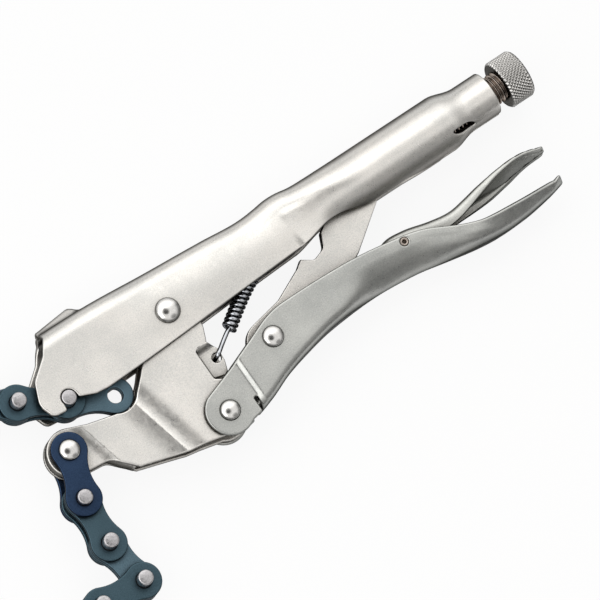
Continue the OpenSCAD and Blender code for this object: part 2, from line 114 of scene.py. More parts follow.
def curve(keys, x):
    """A smooth curve through points (x, y), with each point's slope taken from its neighbours."""
    kx, ky = np.array(keys, float).T
    before = np.maximum(np.arange(len(kx)) - 1, 0)
    after = np.minimum(np.arange(len(kx)) + 1, len(kx) - 1)
    slope = (ky[after] - ky[before]) / (kx[after] - kx[before])
    i = np.clip(np.searchsorted(kx, x, side="right") - 1, 0, len(kx) - 2)
    width = kx[i + 1] - kx[i]
    t = np.clip((x - kx[i]) / width, 0, 1)
    rise = (2 * t**3 - 3 * t**2 + 1) * ky[i] + (3 * t**2 - 2 * t**3) * ky[i + 1]
    return rise + width * ((t**3 - 2 * t**2 + t) * slope[i] + (t**3 - t**2) * slope[i + 1])


def arc(centre, r, start, stop, steps):
    angles = np.radians(np.linspace(start, stop, steps + 1))
    return [np.array([centre[0] + r * math.cos(a), centre[1] + r * math.sin(a)]) for a in angles]


def circle(centre, r, steps=32):
    return arc(centre, r, 0, 360, steps)[:-1]


def corner(before, at, after, r, steps=6):
    a, b = unit(before - at), unit(after - at)
    half = math.acos(np.clip(a @ b, -1, 1)) / 2
    centre = at + unit(a + b) * r / math.sin(half)
    start = at + a * r / math.tan(half) - centre
    stop = at + b * r / math.tan(half) - centre
    a0 = math.degrees(math.atan2(start[1], start[0]))
    turn = math.degrees(math.atan2(stop[1], stop[0])) - a0
    return arc(centre, r, a0, a0 + (turn + 180) % 360 - 180, steps)


def run(before, points, after):
    """Corners (x, y, radius), rounded, between a point before them and a point after them."""
    line = [np.array(p[:2], float) for p in (before, *points, after)]
    made = []
    for i, p in enumerate(points, 1):
        rounded = p[2] > 0
        made += corner(line[i - 1], line[i], line[i + 1], p[2]) if rounded else [line[i]]
    return made


def resampled(loop, step):
    loop = np.array(loop)
    made = []
    for a, b in zip(loop, np.roll(loop, -1, 0)):
        length = np.linalg.norm(b - a)
        if length > SHORTEST:
            count = max(1, round(length / step))
            made += [mix(a, b, i / count) for i in range(count)]
    return np.array(made)


def signed_area(loop):
    x, y = loop.T
    return 0.5 * np.sum(x * np.roll(y, -1) - y * np.roll(x, -1))


def inside(points, loops):
    """Whether each point lies in the area that the loops bound, holes left out."""
    odd = np.zeros(len(points), bool)
    px, py = points.T
    for loop in loops:
        for a, b in zip(loop, np.roll(loop, -1, 0)):
            if a[1] != b[1]:
                crosses = (a[1] > py) != (b[1] > py)
                odd ^= crosses & (px < a[0] + (py - a[1]) * (b[0] - a[0]) / (b[1] - a[1]))
    return odd


def edge_distance(points, loops):
    """Distance from each point to the nearest stretch of the loops."""
    best = np.full(len(points), np.inf)
    for loop in loops:
        for a, b in zip(loop, np.roll(loop, -1, 0)):
            d = b - a
            t = np.clip((points - a) @ d / (d @ d), 0, 1)
            best = np.minimum(best, np.linalg.norm(points - a - t[:, None] * d, axis=1))
    return best


# Shapes: a pair of points and faces, in millimetres

def joined(*shapes):
    points, faces, base = [], [], 0
    for p, f in shapes:
        points.append(p)
        faces += [tuple(i + base for i in face) for face in f]
        base += len(p)
    return np.concatenate(points), faces


def flipped(shape):
    """The shape's mirror image across the tool's middle plane."""
    points, faces = shape
    return points * [1, 1, -1], [face[::-1] for face in faces]


def mirrored(shape):
    """The shape together with its mirror image."""
    return joined(shape, flipped(shape))


def shifted(shape, x, y, z=0.0):
    return shape[0] + np.array([x, y, z]), shape[1]


# Rings of points along a sheet's edge: two as shares of its rounding, and one on the flat beside it
FIRST_RING = 0.13
SECOND_RING = 0.5
FLAT_RING = 0.25
# Spacing along the edges and room beside them, as shares of a sheet's step
RIM_SPACING = 0.7
HOLE_SPACING = 0.45
GRID_CLEARANCE = 0.4
# Room beside the edges for guide points, and the share of its own inset that a ring point keeps
GUIDE_CLEARANCE = 0.1
RING_CLEARANCE = 0.9
GUIDE_STEP = 0.9


def sheet(outline, holes, fold, thickness, edge=0.4, step=1.3, guides=()):
    """A pressed sheet with rounded edges: a flat blank that fold(u, v, depth) lays into its shape."""
    loops = [resampled(outline, RIM_SPACING * step)] + [resampled(h, HOLE_SPACING * step) for h in holes]
    loops = [loop if (signed_area(loop) > 0) == (i == 0) else loop[::-1] for i, loop in enumerate(loops)]
    low, high = loops[0].min(0), loops[0].max(0)
    rows = np.arange(low[1], high[1], step * math.sqrt(0.75))
    columns = np.arange(low[0], high[0], step)
    grid = [(x + (j % 2) * step / 2, y) for j, y in enumerate(rows) for x in columns]
    free = [np.array(grid)] + [np.array(g) for g in guides]
    keep = [edge + FLAT_RING + GRID_CLEARANCE * step] + [edge + FLAT_RING + GUIDE_CLEARANCE] * len(guides)
    for loop in loops:
        along = np.roll(loop, -1, 0) - np.roll(loop, 1, 0)
        inward = np.stack([-along[:, 1], along[:, 0]], 1) / np.linalg.norm(along, axis=1)[:, None]
        for d in (FIRST_RING * edge, SECOND_RING * edge, edge, edge + FLAT_RING):
            free.append(loop + inward * d)
            keep.append(RING_CLEARANCE * d)
    chosen = []
    for points, least in zip(free, keep):
        points = points[inside(points, loops)]
        chosen.append(points[edge_distance(points, loops) > least])
    rim = np.concatenate(loops)
    flat = np.concatenate([rim, *chosen])
    edges, base = [], 0
    for loop in loops:
        edges += [(base + i, base + (i + 1) % len(loop)) for i in range(len(loop))]
        base += len(loop)
    cut = geometry.delaunay_2d_cdt([Vector(p) for p in flat], edges, [], 0, 1e-6)
    index = [origin[0] for origin in cut[3]]
    faces = np.array([[index[i] for i in face] for face in cut[2]])
    faces = faces[inside(flat[faces].mean(1), loops)]
    near = np.minimum(edge_distance(flat, loops), edge)
    near[: len(rim)] = 0
    rounding = edge - np.sqrt(edge**2 - (edge - near) ** 2)
    u, v = flat.T
    full = thickness(u) if callable(thickness) else np.full(len(u), thickness)
    outer, inner = fold(u, v, rounding), fold(u, v, full - rounding)
    n = len(flat)
    made = [tuple(f) for f in faces] + [tuple(f[::-1] + n) for f in faces]
    made += [(b, a, a + n, b + n) for a, b in edges]
    return np.concatenate([outer, inner]), made


def flat_fold(top):
    """Lays a blank flat, with its outer face at height top."""
    return lambda x, y, depth: np.stack([x, y, top - depth], 1)


def both_halves(half_outline):
    """A whole blank from the half on one side of its centre line, which starts and ends on that line."""
    other = [p * [1, -1] for p in half_outline[1:-1]]
    return half_outline + other[::-1]


def tube(rows, capped=True):
    """A skin over closed rows of points, with fans over both ends."""
    rows = np.array(rows)
    m, n = rows.shape[:2]
    points = rows.reshape(-1, 3)
    faces = [(i * n + j, i * n + (j + 1) % n, (i + 1) * n + (j + 1) % n, (i + 1) * n + j)
             for i in range(m - 1) for j in range(n)]
    if capped:
        points = np.concatenate([points, rows[:1].mean(1), rows[-1:].mean(1)])
        faces += [((j + 1) % n, j, m * n) for j in range(n)]
        faces += [((m - 1) * n + j, (m - 1) * n + (j + 1) % n, m * n + 1) for j in range(n)]
    return points, faces


def lathed(profile, sides=48):
    """A turned shape about the Z axis from a profile of (radius, height)."""
    angles = np.linspace(0, 2 * math.pi, sides, endpoint=False)
    ring = np.stack([np.cos(angles), np.sin(angles), np.zeros(sides)], 1)
    return tube([ring * r + [0, 0, h] for r, h in profile])


def turned_on_x(stations, radius, axis_y, sides):
    """A turned shape about the screw's axis. radius(x, angle) gives its surface."""
    angles = np.linspace(0, 2 * math.pi, sides, endpoint=False)
    rows = []
    for x, scale in stations:
        r = radius(x, angles) * scale
        rows.append(np.stack([np.full(sides, x), axis_y + r * np.cos(angles), r * np.sin(angles)], 1))
    return tube(rows)


def over_bend(s, flat, bend, turn, depth):
    """Half-width and rise of a folded channel, a developed distance s out from its centre line."""
    a = np.clip((s - flat) / bend, 0, turn)
    tail = np.maximum(s - flat - bend * turn, 0)
    z = np.minimum(s, flat) + (bend - depth) * np.sin(a) + tail * np.cos(turn)
    return z, bend - (bend - depth) * np.cos(a) + tail * np.sin(turn)


def bend_length(rise, flat, bend, turn):
    """Developed distance from the centre line at which the outer face has risen by a height."""
    on_bend = np.arccos(np.clip(1 - rise / bend, np.cos(turn), 1))
    return flat + bend * on_bend + np.maximum(rise - bend * (1 - np.cos(turn)), 0) / np.sin(turn)


# Finishes

def node(tree, kind, **settings):
    made = tree.nodes.new("ShaderNode" + kind)
    for key, value in settings.items():
        if hasattr(made, key):
            setattr(made, key, value)
        else:
            made.inputs[key.replace("_", " ")].default_value = value
    return made


def noise(tree, where, scale, detail=3.0, roughness=0.55):
    made = node(tree, "TexNoise", Scale=scale, Detail=detail, Roughness=roughness)
    tree.links.new(where, made.inputs["Vector"])
    return made.outputs["Fac"]


def ranged(tree, value, low, high, to_low, to_high, easing="LINEAR"):
    made = node(tree, "MapRange", From_Min=low, From_Max=high, To_Min=to_low, To_Max=to_high)
    made.interpolation_type = easing
    tree.links.new(value, made.inputs["Value"])
    return made.outputs["Result"]


def smooth(tree, value, low, high, to_low=0.0, to_high=1.0):
    return ranged(tree, value, low, high, to_low, to_high, "SMOOTHSTEP")


def combined(tree, operation, a, b):
    made = node(tree, "Math", operation=operation)
    tree.links.new(a, made.inputs[0])
    tree.links.new(b, made.inputs[1])
    return made.outputs[0]


def blended(tree, fac, a, b):
    """A colour between two, each a colour or a socket."""
    made = tree.nodes.new("ShaderNodeMix")
    made.data_type = "RGBA"
    tree.links.new(fac, made.inputs["Factor"])
    for socket, value in ((made.inputs[6], a), (made.inputs[7], b)):
        if isinstance(value, tuple):
            socket.default_value = (*value, 1)
        else:
            tree.links.new(value, socket)
    return made.outputs[2]


# The size of the cloudy patches in millimetres, and the range over which each effect builds up
CLOUD_SIZE = 22
MOTTLE_RANGE = (0.78, 1.22)
CORNER_SHADE_RANGE = (0.25, 0.85)
SIDE_SHADE_RANGE = (0.4, 0.82)
GLOSS_RANGE = (0.3, 0.7)
GRAIN_HEIGHT = 0.0001


def metal(name, light, dark, rough, grain, grain_size, edge_tint=0.05, corner_shade=None, reach=0.0025, sides=1.0):
    """Plated or oiled steel: cloudy tone, uneven gloss, a fine pressed grain, and shade painted into its
    corners and onto its sides.
    light and dark are its tones, rough its lowest and highest roughness, grain_size is in millimetres,
    edge_tint is the tone of its grazing edges, the corner colour is painted in as shade where ambient
    occlusion finds a corner, reach is how far that painted shade spreads, and sides is how much darker the
    colour is painted, as shade under light from above, where a bend or an edge turns away from the tool's
    flat faces."""
    made = bpy.data.materials.new(name)
    made.use_nodes = True
    tree = made.node_tree
    shader = tree.nodes["Principled BSDF"]
    shader.inputs["Metallic"].default_value = 1.0
    shader.inputs["Specular Tint"].default_value = (edge_tint, edge_tint, edge_tint, 1)
    where = node(tree, "TexCoord").outputs["Object"]
    apart = node(tree, "ObjectInfo").outputs["Random"]
    spread = node(tree, "VectorMath", operation="ADD")
    tree.links.new(where, spread.inputs[0])
    tree.links.new(apart, spread.inputs[1])
    where = spread.outputs[0]
    clouds = noise(tree, where, 1000 / CLOUD_SIZE, 4.0)
    fine = noise(tree, where, 1000 / grain_size, 2.0, 0.7)
    specks = noise(tree, where, 1000 / (4 * grain_size), 5.0, 0.65)
    mottle = combined(tree, "ADD", clouds, fine)
    colour = blended(tree, ranged(tree, mottle, *MOTTLE_RANGE, 0, 1), dark, light)
    # Painted shade: where ambient occlusion finds a corner, a hollow or the inside of a channel within
    # reach, the colour darkens towards the given dark tone.
    if corner_shade:
        corners = node(tree, "AmbientOcclusion", samples=4, Distance=reach)
        shade = ranged(tree, corners.outputs["AO"], *CORNER_SHADE_RANGE, 1, 0)
        colour = blended(tree, shade, colour, corner_shade)
    # Painted shade: the colour is darkened where the surface turns away from the flat faces, as if light
    # fell only from above; sides sets how dark.
    if sides < 1:
        parts = node(tree, "SeparateXYZ")
        tree.links.new(node(tree, "TexCoord").outputs["Normal"], parts.inputs[0])
        flatness = node(tree, "Math", operation="ABSOLUTE")
        tree.links.new(parts.outputs["Z"], flatness.inputs[0])
        sides_darkened = node(tree, "VectorMath", operation="SCALE")
        tree.links.new(colour, sides_darkened.inputs[0])
        tree.links.new(smooth(tree, flatness.outputs[0], *SIDE_SHADE_RANGE, sides, 1), sides_darkened.inputs["Scale"])
        colour = sides_darkened.outputs[0]
    tree.links.new(colour, shader.inputs["Base Color"])
    gloss = ranged(tree, specks, *GLOSS_RANGE, *rough)
    tree.links.new(gloss, shader.inputs["Roughness"])
    relief = node(tree, "Bump", Strength=grain, Distance=GRAIN_HEIGHT)
    tree.links.new(fine, relief.inputs["Height"])
    tree.links.new(relief.outputs[0], shader.inputs["Normal"])
    return made


# reach is how far the painted corner shade spreads: in the satin finishes it reaches far enough to shade
# the insides of the channels. sides is how dark bends and edges are painted as shade.
SATIN = {"rough": (0.26, 0.36), "grain": 0.22, "grain_size": 0.5, "reach": 0.014}
FINE = {"grain_size": 0.4, "reach": 0.0015}
BLUED = {"rough": (0.32, 0.46), "grain": 0.35, "grain_size": 0.45, "edge_tint": 0.5, "sides": 0.35}
NICKEL = metal("satin_nickel", (0.93, 0.90, 0.853), (0.70, 0.695, 0.67),
               corner_shade=(0.10, 0.085, 0.065), sides=0.42, **SATIN)
# A darker copy of the satin nickel, for the lower handle and the release lever.
DARKER_NICKEL = metal("darker_nickel", (0.63, 0.635, 0.606), (0.45, 0.46, 0.445),
                    corner_shade=(0.08, 0.07, 0.055), sides=0.5, **SATIN)
NICKEL_BRIGHT = metal("knurled_nickel", (0.88, 0.865, 0.84), (0.68, 0.67, 0.65), rough=(0.14, 0.24),
                      grain=0.15, corner_shade=(0.05, 0.045, 0.04), sides=0.4, **FINE)
RIVET = metal("polished_rivet", (0.84, 0.83, 0.81), (0.72, 0.71, 0.69), rough=(0.12, 0.2), grain=0.12,
              grain_size=0.8, sides=0.4)
SCREW = metal("oiled_thread", (0.56, 0.50, 0.45), (0.38, 0.32, 0.28), rough=(0.18, 0.3), grain=0.15,
              corner_shade=(0.07, 0.05, 0.04), **FINE)
SPRING = metal("spring_wire", (0.62, 0.64, 0.67), (0.46, 0.48, 0.52), rough=(0.1, 0.18), grain=0.1,
               corner_shade=(0.02, 0.02, 0.025), sides=0.4, **FINE)
OUTER_PLATE = metal("blued_outer_plate", (0.075, 0.125, 0.155), (0.05, 0.085, 0.105),
                    corner_shade=(0.012, 0.015, 0.018), **BLUED)
INNER_PLATE = metal("blued_inner_plate", (0.12, 0.19, 0.235), (0.08, 0.13, 0.16),
                    corner_shade=(0.012, 0.015, 0.018), **BLUED)
ANCHOR_PLATE = metal("blued_anchor_plate", (0.036, 0.064, 0.124), (0.022, 0.039, 0.077),
                     corner_shade=(0.012, 0.014, 0.02), **BLUED)
PIN_STEEL = metal("ground_pin", (0.60, 0.59, 0.60), (0.38, 0.37, 0.38), rough=(0.24, 0.42), grain=0.5,
                  grain_size=0.7, edge_tint=0.5)


# Pieces

def mesh_of(name, shape, finish, place=lambda p: p):
    """A mesh in metres with outward faces, smooth shading and one finish."""
    points, faces = shape
    mesh = bpy.data.meshes.new(name)
    mesh.from_pydata(place(points * MM).tolist(), [], [tuple(int(i) for i in f) for f in faces])
    work = bmesh.new()
    work.from_mesh(mesh)
    bmesh.ops.remove_doubles(work, verts=work.verts, dist=1e-7)
    bmesh.ops.recalc_face_normals(work, faces=work.faces)
    for face in work.faces:
        face.smooth = True
    work.to_mesh(mesh)
    work.free()
    mesh.materials.append(finish)
    return mesh


def add(name, mesh, nodes):
    """An object for a mesh that stands for CAD nodes and takes its finish from a material slot."""
    made = bpy.data.objects.new(name, mesh)
    bpy.context.scene.collection.objects.link(made)
    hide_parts(*nodes)
    return made


def on_tool(points):
    return points + np.array(ORIGIN)


def piece(name, shape, finish, slot, body, *nodes):
    """A piece drawn in the tool's plane, set in its place on a body."""
    mesh = mesh_of(name, shape, finish, on_tool)
    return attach(add(name, mesh, nodes), body)


# Fixed handle: a channel that closes into a tube and necks down on the screw.
# Here and below, a RAMP is (start, length) along the tool and a STRETCH is (start, run in, stop, run out).
SHEET = 2.0
CHANNEL_HALF = 9.0
CHANNEL_BEND = 6.5
TUBE_R = 11.4
NECK_R = 9.0
AXIS_Y = 2.9
NECK_END = 154.5
NECK_RAMP = (132.5, 11.0)
NECK_WALL = 2.8
TUBE_RAMP = (58.0, 36.0)
TUBE_FULL = 96.0
LIP = 14.4
BEND_SLACK = 0.3
# How far round the tube's walls curl, in degrees, and where along it they curl further
CURL, CURL_TIGHT = 70, 84
CURL_RAMP = (106, 14)
# The crown pressed up at the nose: its height, where it starts, and how it falls towards the front
CROWN = 3.2
CROWN_RAMP = (-25, -5)
CROWN_FALL = 0.6
CROWN_FALL_FROM, CROWN_FALL_RUN = -30, 18
NOSE_FRONT = -45.5
# The slight bulge of the channel's walls
WALL_BOW = 0.65
BOW_STRETCH = (-20, 25, 80, 30)
# The step in the lower edge where the seam begins
SEAM_STEP = 1.5
SEAM_STRETCH = (124.5, 1.5, 146, 8)
# Heights (x, y) of the channel's top and of its lower edge
CHANNEL_TOP = [(-70, 19.3), (-28, 19.3), (2, 17.3), (28, 15.6), (40, 14.5), (46, 14.4), (52, 14.9),
               (57, 15.5), (62, 15.4), (68, 14.5), (76, AXIS_Y + TUBE_R), (96, AXIS_Y + TUBE_R)]
CHANNEL_LOW = [(-70, -11.8), (-28, -11.8), (36, -8.8), (70, -7.4), (96, -7.4)]
# Corners (x, y, radius) of the nose hook, before and behind the notch that holds the chain's pin
HOOK_FRONT = [(-45.8, 18, 2), (-50, 11.6, 6), (-58.6, 5, 6), (-62.4, -3.6, 6), (-60, -10.2, 3),
              (-54.2, -10.8, 1)]
HOOK_HEEL = [(-47.4, -8.8, 0.8), (-41, -11.4, 4)]
NOTCH_R = PIN_R + 0.25
RIM_START = -36


def handle_section(x):
    """Half-width, top, bend radius, height where the wall starts to curl, curl angle and curled length."""
    closed = ramp(x, *TUBE_RAMP)
    r = mix(TUBE_R, NECK_R, ramp(x, *NECK_RAMP))
    half = mix(CHANNEL_HALF, r, closed)
    web = np.where(x < TUBE_FULL, curve(CHANNEL_TOP, x), AXIS_Y + r)
    bend = mix(CHANNEL_BEND, r - BEND_SLACK, closed)
    curl = mix(curve(CHANNEL_LOW, np.minimum(x, TUBE_FULL)) + LIP, AXIS_Y, closed)
    turn = np.radians(closed * mix(CURL, CURL_TIGHT, ramp(x, *CURL_RAMP)))
    return half, web, bend, curl, turn, mix(LIP, r * turn, closed)


def handle_reach(x):
    """Developed height of the channel's centre line above the tool's axis."""
    half, web, bend = handle_section(x)[:3]
    return web - bend + bend * QUARTER + half - bend


def handle_fold(x, w, depth):
    half, web, bend, curl, turn, lip = handle_section(x)
    s = np.abs(w)
    v = handle_reach(x) - s
    z, rise = over_bend(s, half - bend, bend, QUARTER, depth)
    low = curve(CHANNEL_LOW, np.minimum(x, TUBE_FULL))
    t = np.clip((2 * v - low - web + bend) / (web - bend - low), -1, 1)
    bow = np.where(v < web - bend, WALL_BOW * t**2, WALL_BOW)
    z -= bow * stretch(x, *BOW_STRETCH)
    radius = lip / np.maximum(turn, 1e-4)
    angle = np.maximum(curl - v, 0) / radius
    y = np.where(v < curl, curl - (radius - depth) * np.sin(angle), web - rise)
    z = np.where((v < curl) & (turn > 0), half - radius + (radius - depth) * np.cos(angle), z)
    fall = CROWN_FALL * np.clip((CROWN_FALL_FROM - x) / CROWN_FALL_RUN, 0, 1)
    crown = CROWN * ramp(x, *CROWN_RAMP) * (1 - fall)
    flat = np.maximum(half - bend, 0.5)
    y += np.where(v > web - bend, crown * np.clip(1 - (z / flat) ** 2, 0, 1), 0)
    return np.stack([x, y, z * np.sign(w)], 1)


def handle_wall(x):
    return mix(SHEET, NECK_WALL, ramp(x, *NECK_RAMP))


def handle_rim(x):
    """Lower edge of the wall, with the seam's step before the neck."""
    _, _, _, curl, _, lip = handle_section(x)
    return curl - lip + SEAM_STEP * stretch(x, *SEAM_STRETCH)


def neck_slot():
    """The opening that the pressing leaves in the near wall, above the seam where the tube necks down."""
    middle_x, above_rim, slant = 137.2, 6.2, -0.43
    half_length, half_height = 5.2, 1.5
    made = []
    for across, up in circle((0, 0), 1, 36):
        x = middle_x + half_length * across
        height = float(handle_rim(x)) + above_rim + slant * (x - middle_x) + half_height * up
        made.append(np.array([x, height]))
    return made


def to_blank(points, reach, side=1):
    """Points (x, height up the wall) as places on the flat blank, measured from its centre line."""
    return [np.array([p[0], side * abs(float(reach(p[0])) - p[1])]) for p in points]


def fixed_handle():
    notch = arc(HOOK_PIN, NOTCH_R, 200, 0, 18)
    top = (NOSE_FRONT, float(handle_reach(NOSE_FRONT)))
    front = run(top, HOOK_FRONT, notch[0])
    stations = np.linspace(RIM_START, NECK_END, 190)
    rim = [np.array([x, float(handle_rim(x))]) for x in stations]
    heel = run(notch[-1], HOOK_HEEL, rim[0])
    end = (NECK_END, float(handle_reach(NECK_END)))
    outline = to_blank([top, *front, *notch, *heel, *rim, end], handle_reach)
    holes = [to_blank(circle(JAW_RIVET, RIVET_HOLE), handle_reach, side) for side in (1, -1)]
    holes.append(to_blank(neck_slot(), handle_reach))
    return sheet(both_halves(outline), holes, handle_fold, handle_wall, edge=0.55)


SPRING_FOOT = np.array([6.4, -24.6])
SPRING_HEAD = np.array([58, 0.75])
HOOK_HOLE = 1.9
LUG_HALF = 1.0
LUG_REACH = 4.2
LUG_BELOW = 2.1


def handle_lug():
    """The tab inside the handle that the spring's upper hook holds."""
    root = AXIS_Y + TUBE_R - SHEET / 2
    x, y = SPRING_HEAD
    back, front = np.array([x - LUG_REACH, root]), np.array([x + LUG_REACH, root])
    corners = [(x - LUG_REACH, y - LUG_BELOW, 2), (x + LUG_REACH, y - LUG_BELOW, 2)]
    outline = [back, *run(back, corners, front), front]
    hole = circle(SPRING_HEAD, HOOK_HOLE, 20)
    return sheet(outline, [hole], flat_fold(LUG_HALF), 2 * LUG_HALF, edge=0.3, step=1.2)


piece("fixed_handle_shell", joined(fixed_handle(), handle_lug()), NICKEL, "nickel", "fixed_handle",
      "fixed_handle")


# Adjusting screw: a threaded shank and a head with a diamond knurl
SCREW_R = 6.0
SCREW_TIP = 104.0
SCREW_LEAD = 1.814
THREAD_DEPTH = 0.95
# Above 1, the flanks are steeper and leave the crests and roots flat
THREAD_FLANK = 1.25
THREAD_SAMPLES = 12
TIP_SHARE = 0.7
TIP_RUN = 1.5
KNOB_START = 160.0
KNOB_LEN = 10.0
KNOB_R = 9.9
KNOB_CHAMFER = 0.8
SHANK_END = KNOB_START + KNOB_LEN - 3
KNURLS = 38
KNURL_DEPTH = 0.9
KNURL_SLANT = 1.0
KNURL_SAMPLES = 8


def wave(t):
    """A triangle wave from 0 to 1 and back over each whole number."""
    return 1 - np.abs(2 * (t % 1) - 1)


def thread(x, angles):
    across = wave(x / SCREW_LEAD - angles / (2 * math.pi))
    groove = np.clip(THREAD_FLANK * across - (THREAD_FLANK - 1) / 2, 0, 1)
    return SCREW_R - THREAD_DEPTH * groove


def screw_shank():
    xs = np.arange(SCREW_TIP, SHANK_END, SCREW_LEAD / THREAD_SAMPLES)
    tip = [(SCREW_TIP + 0.001 * i, s) for i, s in enumerate((0.3, 0.68, TIP_SHARE))]
    body = [(x, min(1.0, mix(TIP_SHARE, 1, (x - SCREW_TIP) / TIP_RUN))) for x in xs[1:]]
    return turned_on_x([*tip, *body], thread, AXIS_Y, 48)


def knurl(x, angles):
    """Two crossed sets of grooves that fade out at the chamfers."""
    turns = KNURLS * angles / (2 * math.pi)
    lift = (x - KNOB_START) / (2 * math.pi * KNOB_R / KNURLS) * KNURL_SLANT
    groove = 1 - np.minimum(wave(turns + lift), wave(turns - lift))
    room = min(x - KNOB_START, KNOB_START + KNOB_LEN - x)
    return KNOB_R - KNURL_DEPTH * ease(room / KNOB_CHAMFER) * groove


def screw_knob():
    rim = (KNOB_R - KNOB_CHAMFER) / KNOB_R
    step = 2 * math.pi * KNOB_R / KNURLS / KNURL_SLANT / KNURL_SAMPLES
    inner = np.arange(KNOB_START + KNOB_CHAMFER, KNOB_START + KNOB_LEN - KNOB_CHAMFER, step)
    first = [(KNOB_START, s) for s in (0.58, 0.7, rim - 0.03, rim)]
    last = [(KNOB_START + KNOB_LEN, s) for s in (rim, rim - 0.03, 0.5, 0.1)]
    chamfer = KNOB_START + KNOB_LEN - KNOB_CHAMFER
    stations = [*first, *[(x, 1) for x in inner], (chamfer, 1), *last]
    return turned_on_x(stations, knurl, AXIS_Y, KNURLS * KNURL_SAMPLES)


piece("screw_thread", screw_shank(), SCREW, "screw_steel", "screw_shank", "screw_shank")
piece("knurled_head", screw_knob(), NICKEL_BRIGHT, "nickel_bright", "screw_knob", "screw_knob")


# Jaw: two pressed walls that slope in towards a solid nose
JAW_WALL = 1.9
JAW_TOP = 6.8
STEP_ANGLE = math.radians(14)
NOSE_CREASE = -55.0
HEEL_CREASE = -34.6
# Each slope: where it ends, its steepest tangent there, and how far it takes to build up from flat
JAW_SLOPES = ((HEEL_CREASE, 0.46, 8.0), (HEEL_CREASE, 0.20, -8.0), (NOSE_CREASE, 0.36, -4.5))
NOSE_Z = 3.35
FAR_NOSE_Z = 4.6
# Corners (x, y, radius) of the jaw's outline, from the top round the nose and the heel
JAW_UPPER = [(8.6, -12, 3), (9.6, 7, 7), (-9.6, 7, 7), (-14, -5, 4), (-22.5, -14.5, 4)]
JAW_EDGE = [(-50, -18.4, 5)]
JAW_LOWER = [(-50.5, -34.4, 5), (-42.2, -42.9, 0.8), (-23, -48.5, 3), (-17, -49.4, 3)]
JAW_BACK = [(4.6, -33.5, 1.5), (0.4, -31, 1), (0.4, -18.4, 1), (6, -18, 1.5)]
JAW_NOSE = ANCHOR + [1, -0.7]
JAW_NOSE_R = 9.4
HEEL_R = 8.8
# The dip in the upper edge that clears the chain's tail
TAIL_EYE = 2 * middle("chain_link_25") - tool_xy(JOINT_AT["chain_25"])
TAIL_ROOM = 7.4
# The solid core of the nose: its inset from the outline, and the share of each wall that it sinks into
CORE_INSET = 0.25
CORE_SINK = 0.3
CORE_FRONT = (-50.4, -19.6)
CORE_BACK = [(-50.6, -34.0), (-43.5, -42.0), (-42.0, -41.6), (-49.4, -31.6), (-52.4, -30.4), (-52.4, -20)]


def jaw_outline():
    nose = arc(JAW_NOSE, JAW_NOSE_R, 70, 268, 30)
    heel = arc(HANDLE_RIVET, HEEL_R, 235, 350, 20)
    dip = arc(TAIL_EYE, TAIL_ROOM, -36, -122, 14)
    upper = run(JAW_BACK[-1], JAW_UPPER, dip[0])
    edge = run(dip[-1], JAW_EDGE, nose[0])
    lower = run(nose[-1], JAW_LOWER, heel[0])
    rear = run(heel[-1], JAW_BACK, JAW_UPPER[0])
    return [*upper, *dip, *edge, *nose, *lower, *heel, *rear]


def jaw_face(x, y):
    """Height of the jaw's outer face, which falls towards the nose in slopes that meet at two creases."""
    s = x * math.cos(STEP_ANGLE) + y * math.sin(STEP_ANGLE)
    height = np.full_like(s, JAW_TOP)
    for end, steepest, length in JAW_SLOPES:
        t = np.clip((s - end) / length, 0, 1)
        fallen = (1 - t) ** 2 if length > 0 else 1 - (1 - t) ** 2
        height -= steepest * abs(length) / 2 * np.where((s < end) == (length > 0), length > 0, fallen)
    return height


def jaw_fold(x, y, depth):
    return np.stack([x, y, jaw_face(x, y) - depth], 1)


def far_jaw_fold(x, y, depth):
    """The far wall falls less, so that the nose keeps its full thickness."""
    share = (JAW_TOP - FAR_NOSE_Z) / (JAW_TOP - NOSE_Z)
    return np.stack([x, y, JAW_TOP - share * (JAW_TOP - jaw_face(x, y)) - depth], 1)


def crease_lines():
    """Points along both creases, closer together than the sheet's own."""
    cross = np.array([math.cos(STEP_ANGLE), math.sin(STEP_ANGLE)])
    along = np.array([-cross[1], cross[0]])
    offsets = (-4.0, -2.6, -1.4, -0.6, -0.2, 0.0, 0.2, 0.6, 1.4, 2.6, 4.0)
    return [[cross * (foot + d) + along * a for a in np.arange(-60, 30, GUIDE_STEP)]
            for foot in (NOSE_CREASE, HEEL_CREASE)
            for d in offsets]


TAB = [(0.75, -17.2, 0.3), (5.8, -17.4, 1), (9.0, -21.8, 1.5), (8.6, -27.0, 2), (7.2, -30.9, 1.2),
       (5.6, -32.0, 1), (0.8, -30.4, 0.6)]
TAB_SHEET = 1.9
TAB_Z = 4.4
TAB_RAMP = (-17.9, -2.6)


def tab_fold(x, y, depth):
    """The tab that the spring hooks into, pressed in from the jaw's wall just below its top edge."""
    top = mix(JAW_TOP, TAB_Z, ramp(y, *TAB_RAMP))
    return np.stack([x, y, top - depth], 1)


